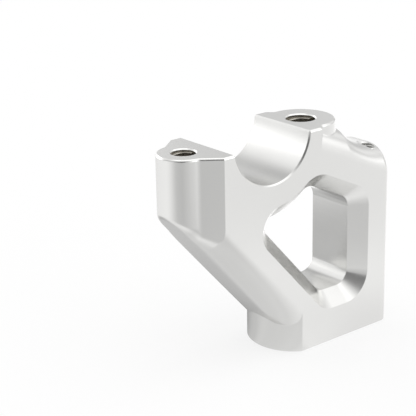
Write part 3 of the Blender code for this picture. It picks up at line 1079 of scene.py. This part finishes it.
@dataclass
class Riser:
    """The whole riser: one body and the threads in its holes."""

    sizes: Sizes
    window_flare: float = 0.0051
    smooth_deg: float = 24.0
    small_from_face: float = 0.0045
    small_from_side: float = 0.00695
    base_spacing: float = 0.0225
    base_count: int = 2

    def holes(self) -> list[TappedHole]:
        """List the tapped holes in the posts, the arm and the base.

        Returns:
            The holes, with their chamfers and depths.
        """
        s = self.sizes
        front, rear = Vector((s.front_hole_x, 0.0, s.front_top_z)), Vector((s.rear_hole_x, 0.0, s.rear_top_z))
        small = ArmSolid(s).touch(s.rear_face_x - self.small_from_face, self.small_from_side - s.half, 0.0)[0]
        # The post and base holes get painted shade in their bore's colour; the small hole gets none.
        holes = [TappedHole("front_hole", front, Way.DOWN, M8, mouth_chamfer=0.0010, depth=0.0200),
                 TappedHole("rear_hole", rear, Way.DOWN, M10, mouth_chamfer=0.00115, depth=0.0180),
                 TappedHole("small_hole", small, Way.DOWN, M5, mouth_chamfer=0.0005, depth=0.0116, painted_shade=0.0)]
        for index in range(self.base_count):
            mouth = Vector((s.nose_centre_x + index * self.base_spacing, 0.0, 0.0))
            name = f"base_hole_{index + 1}"
            holes.append(TappedHole(name, mouth, Way.UP, M8, mouth_chamfer=0.0010, depth=0.0120))
        return holes

    def through(self, name: str, profile: Callable[[float], list[Vector]], flare: float) -> bpy.types.Object:
        """Cutter from side to side, wider by flare at each side face.

        Args:
            name: The cutter's name.
            profile: The outline in the XZ plane, for an amount of growth.
            flare: The growth at the side faces.

        Returns:
            The cutter.
        """
        half, more = self.sizes.half, self.sizes.cut_past
        stations = ((-half - more, flare + more), (flare - half, 0.0),
                    (half - flare, 0.0), (half + more, flare + more))
        rings = [[Vector((point.x, y, point.y)) for point in profile(grow)] for y, grow in stations]
        return loft(name, rings)

    def body(self, finish: bpy.types.Material) -> bpy.types.Object:
        """The block of metal, in the frame's place.

        Args:
            finish: Its material.

        Returns:
            The finished piece.
        """
        s = self.sizes
        arm = ArmSolid(s)
        body = FrontSolid(s).build()
        steps = [(solid.build(), Operation.ADD) for solid in (NoseSolid(s), arm, RearPostSolid(s, arm))]
        steps.append((self.through("cradle_cutter", CradleCut(s).profile, s.chamfer), Operation.CUT))
        steps.append((self.through("window_cutter", WindowCut(s).profile, self.window_flare), Operation.CUT))
        steps += [(hole.cutter(s.cut_past), Operation.CUT) for hole in self.holes()]
        for tool, operation in steps:
            modifier = body.modifiers.new(tool.name, "BOOLEAN")
            modifier.operation = operation.value
            modifier.solver = "EXACT"
            modifier.object = tool
            settle(body)
            heal(body, MERGE)
            bpy.data.objects.remove(tool, do_unlink=True)
        heal(body, SLIVER)
        body.name = body.data.name = "riser_surface"
        body.data.transform(s.to_frame)
        body.data.shade_smooth()
        body.data.set_sharp_from_angle(angle=math.radians(self.smooth_deg))
        weighted = body.modifiers.new("flat_faces_stay_flat", "WEIGHTED_NORMAL")
        weighted.keep_sharp = True
        settle(body)
        body.data.materials.clear()
        body.data.materials.append(finish)
        return body

    def build(self, finish: bpy.types.Material) -> None:
        """Make every piece, and tie it to the frame.

        Args:
            finish: The satin aluminium.
        """
        body = self.body(finish)
        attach(body, BODY)
        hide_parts(NODE)
        log.info("%s: %d faces", body.name, len(body.data.polygons))
        tree = ThreadTree().build()
        for hole in self.holes():
            thread = hole.thread(tree, finish)
            thread.data.transform(self.sizes.to_frame)
            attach(thread, BODY)
            log.info("%s: %d faces", thread.name, len(thread.data.polygons))


@dataclass(frozen=True)
class SatinAluminium:
    """Bead-blasted, clear anodised aluminium, with faint traces of the mill, and shade painted darker into
    its colour in the tapped holes.
    """

    colour: tuple[float, float, float] = (0.80, 0.80, 0.785)
    cloudy: tuple[float, float, float] = (0.78, 0.775, 0.765)
    cloud_scale: float = 70.0
    detail: float = 2.0
    roughness: float = 0.24
    grain_scale: float = 5200.0
    grain_roughness: float = 0.05
    grain_height: float = 3e-6
    pass_scale: tuple[float, float, float] = (35.0, 35.0, 1500.0)
    pass_detail: float = 3.0
    pass_roughness: float = 0.06
    pass_height: float = 4e-6
    # Darker colour painted into each hole's bore, standing in for its shade.
    painted_bore_shade_colour: tuple[float, float, float] = (0.42, 0.40, 0.36)

    @staticmethod
    def noise(place: Socket, scale: float, detail: float) -> Socket:
        """Noise from 0 to 1, whose middle is 0.5."""
        return place.book.node("ShaderNodeTexNoise", {}, {"Vector": place, "Scale": scale, "Detail": detail})

    @staticmethod
    def blend(share: Socket, one: Operand, two: Operand) -> Socket:
        """Mix of two colours, which a Mix node has at inputs 6 and 7 and hands back at output 2."""
        return share.book.node("ShaderNodeMix", {"data_type": "RGBA"}, {0: share, 6: one, 7: two}, 2)

    def material(self, holes: Sequence[TappedHole], to_frame: Matrix) -> bpy.types.Material:
        """The finish as a node material.

        Args:
            holes: The tapped holes, whose bore shade is painted darker into the colour by each one's share.
            to_frame: The move to the frame's origin.

        Returns:
            The material.
        """
        made = bpy.data.materials.new("satin_aluminium_finish")
        book = NodeBook.of(made)
        place = book.node("ShaderNodeTexCoord", {}, {}, "Object")
        clouds = self.noise(place, self.cloud_scale, self.detail)
        grain = self.noise(place, self.grain_scale, self.detail)
        along = book.node("ShaderNodeMapping", {}, {"Vector": place, "Scale": self.pass_scale})
        passes = self.noise(along, 1.0, self.pass_detail)
        colour = self.blend(clouds, (*self.colour, 1.0), (*self.cloudy, 1.0))
        # Painted shade: each hole's bore is darkened in the base colour by its share.
        painted_bore_shade = sum((hole.inside(place, to_frame) for hole in holes), start=0.0)
        colour_with_painted_shade = self.blend(painted_bore_shade, colour, (*self.painted_bore_shade_colour, 1.0))
        uneven = (grain - 0.5) * self.grain_roughness + (passes - 0.5) * self.pass_roughness
        height = grain * self.grain_height + passes * self.pass_height
        bump = book.node("ShaderNodeBump", {}, {"Height": height, "Distance": 1.0})
        shader = book.node("ShaderNodeBsdfPrincipled", {}, {
            "Base Color": colour_with_painted_shade, "Roughness": self.roughness + uneven, "Metallic": 1.0, "Normal": bump})
        book.end("ShaderNodeOutputMaterial", {"Surface": shader})
        return made


@dataclass(frozen=True)
class Ring:
    """Soft round lights at one height, in even steps round the riser.

    The first light stands on the camera's side, and the rest follow to its right.
    """

    height_deg: float
    reach_deg: float
    strengths: tuple[float, ...]


@dataclass(frozen=True)
class FloorZone:
    """How bright the floor looks in the metal, in even steps round the riser.

    A zone fades into the next one from start to stop. The last has no end, and 0 for both.
    """

    start: float
    stop: float
    strengths: tuple[float, ...]


@dataclass(frozen=True)
class Studio:
    """Pale floor, soft light and the camera at the photograph's angle."""

    azimuth_deg: float = -39.15
    elevation_deg: float = 19.17
    roll_deg: float = -1.08
    focal_px: float = 1341.78
    image_px: int = 416
    sensor_mm: float = 36.0
    clip: tuple[float, float] = (0.01, 10.0)
    camera_at: tuple[float, float, float] = (-0.273834, -0.316689, 0.197240)
    floor_reach: float = 3.0
    floor_colour: tuple[float, float, float] = (0.97, 0.97, 0.97)
    floor_middle: tuple[float, float, float] = (-0.02, 0.0, 0.0)
    shadow_share: float = 0.25
    zone_reach_deg: float = 62.0
    backdrop_reach_deg: float = 18.0
    rings: tuple[Ring, ...] = (
        Ring(8.0, 34.0, (0.0, 0.8, 1.25, 0.8, 0.4, 0.5, 0.2, 1.15, 1.6, 0.4, 0.75, 0.3)),
        Ring(34.0, 34.0, (0.0, 0.05, 0.45, 0.35, 0.35, 0.15, 0.35, 0.25, 0.6, 0.0, 0.0, 0.1)),
        Ring(60.0, 36.0, (0.25, 0.4, 0.5, 0.65, 0.0, 0.0, 0.6, 0.4)),
        Ring(88.0, 36.0, (0.65,)),
    )
    zones: tuple[FloorZone, ...] = (
        FloorZone(0.04, 0.09, (0.45, 0.45, 0.65, 0.35, 0.2, 0.25, 0.45, 0.4)),
        FloorZone(0.09, 0.16, (0.25, 0.5, 0.65, 0.5, 1.05, 0.4, 0.15, 0.85)),
        FloorZone(0.0, 0.0, (0.25, 0.6, 0.45, 0.65, 0.65, 0.4, 0.7, 0.45)),
    )

    @property
    def camera_side_deg(self) -> float:
        """Compass angle of the camera's side, seen from the riser."""
        return self.azimuth_deg - 90.0

    def facing(self, side_deg: float, height_deg: float) -> tuple[float, float, float]:
        """Direction from the riser, with the side counted from the camera's to its right."""
        side, height = math.radians(self.camera_side_deg + side_deg), math.radians(height_deg)
        return math.cos(side) * math.cos(height), math.sin(side) * math.cos(height), math.sin(height)

    def patch(self, ray: Socket, side_deg: float, height_deg: float, reach_deg: float) -> Socket:
        """Soft round patch of light: 1 in its middle, and 0 from its reach on."""
        nearness = ray.book.vector("DOT_PRODUCT", ray, self.facing(side_deg, height_deg), output="Value")
        return nearness.fade(math.cos(math.radians(reach_deg)), 1.0)

    def glow(self, ray: Socket, ring: Ring) -> Socket:
        """Light of a whole ring.

        Args:
            ray: The direction looked at.
            ring: The ring.

        Returns:
            The ring's brightness in that direction.
        """
        step = 360.0 / len(ring.strengths)
        return sum((self.patch(ray, step * index, ring.height_deg, ring.reach_deg) * strength
                    for index, strength in enumerate(ring.strengths)), start=0.0)

    @staticmethod
    def rays(book: NodeBook) -> tuple[Socket, Socket]:
        """Tell the camera's own rays from those that come by way of metal or glass.

        Args:
            book: The tree that the masks are for.

        Returns:
            A mask of what the camera sees directly, and one of what shows in metal or glass.
        """
        path = book.node("ShaderNodeLightPath", {}, {}, "Is Camera Ray")
        outputs = path.output.node.outputs
        return path, Socket(book, outputs["Is Glossy Ray"]) + Socket(book, outputs["Is Transmission Ray"])

    def camera(self, to_frame: Matrix) -> None:
        """Camera, whose place is counted from the handlebar's axis.

        Args:
            to_frame: The move to the frame's origin.
        """
        az, el, roll = (math.radians(a) for a in (self.azimuth_deg, self.elevation_deg, self.roll_deg))
        right = Vector((math.cos(az), math.sin(az), 0.0))
        ahead = Vector((-math.sin(az) * math.cos(el), math.cos(az) * math.cos(el), -math.sin(el)))
        up = right.cross(ahead)
        side = right * math.cos(roll) + up * math.sin(roll)
        top = up * math.cos(roll) - right * math.sin(roll)
        data = bpy.data.cameras.new("camera")
        data.sensor_width = self.sensor_mm
        data.lens = self.focal_px / self.image_px * self.sensor_mm
        data.clip_start, data.clip_end = self.clip
        place = Matrix((side, top, -ahead)).transposed().to_4x4()
        place.translation = to_frame @ Vector(self.camera_at)
        item = add("camera", data)
        item.matrix_world = place
        bpy.context.scene.camera = item

    def floor_finish(self) -> bpy.types.Material:
        """Pale floor, which the metal reflects with the studio's soft gradients.

        Returns:
            The material.
        """
        made = bpy.data.materials.new("pale_floor")
        book = NodeBook.of(made)
        camera, mirrored = self.rays(book)
        place = book.node("ShaderNodeNewGeometry", {}, {}, "Position")
        offset = book.vector("SUBTRACT", place, self.floor_middle)
        away = book.vector("NORMALIZE", offset)
        distance = book.vector("LENGTH", offset, output="Value")
        shine: Operand = 0.0
        inner: Operand = 0.0
        for zone in self.zones:
            here = self.glow(away, Ring(0.0, self.zone_reach_deg, zone.strengths))
            outer = distance.fade(zone.start, zone.stop, 1.0, 0.0) if zone.stop > zone.start else 1.0
            shine = shine + here * (outer - inner)
            inner = outer
        white = camera * (1.0 - self.shadow_share)
        paint = book.node("ShaderNodeBsdfDiffuse", {}, {"Color": (*self.floor_colour, 1.0)})
        dark = book.node("ShaderNodeBsdfDiffuse", {}, {"Color": BLACK})
        lit = book.node("ShaderNodeMixShader", {}, {0: 1.0 - white - mirrored, 1: dark, 2: paint})
        lamp = book.node("ShaderNodeEmission", {}, {"Color": WHITE, "Strength": white + mirrored * shine})
        surface = book.node("ShaderNodeAddShader", {}, {0: lit, 1: lamp})
        book.end("ShaderNodeOutputMaterial", {"Surface": surface})
        return made

    def floor(self) -> None:
        """Lay the pale floor under the riser."""
        reach = self.floor_reach
        mesh = bpy.data.meshes.new("floor")
        corners = [(-reach, -reach, 0.0), (reach, -reach, 0.0), (reach, reach, 0.0), (-reach, reach, 0.0)]
        mesh.from_pydata(corners, [], [(0, 1, 2, 3)])
        mesh.materials.append(self.floor_finish())
        add("floor", mesh)

    def world(self) -> None:
        """White backdrop, which the metal shows low behind the riser, and soft lights round it."""
        made = bpy.data.worlds.new("studio")
        book = NodeBook.of(made)
        camera, mirrored = self.rays(book)
        coord = book.node("ShaderNodeTexCoord", {}, {}, "Generated")
        ray = book.vector("NORMALIZE", coord)
        white = camera + mirrored * self.patch(ray, 180.0, 0.0, self.backdrop_reach_deg)
        light = sum((self.glow(ray, ring) for ring in self.rings), start=0.0)
        strength = white + (1.0 - white) * light
        lamp = book.node("ShaderNodeBackground", {}, {"Color": WHITE, "Strength": strength})
        book.end("ShaderNodeOutputWorld", {"Surface": lamp})
        bpy.context.scene.world = made


def main() -> None:
    """Build the riser and its studio."""
    bpy.context.scene.view_settings.view_transform = "Standard"
    sizes = Sizes()
    riser = Riser(sizes)
    riser.build(SatinAluminium().material(riser.holes(), sizes.to_frame))
    studio = Studio()
    studio.floor()
    studio.world()
    studio.camera(sizes.to_frame)


if __name__ == "__main__":
    main()
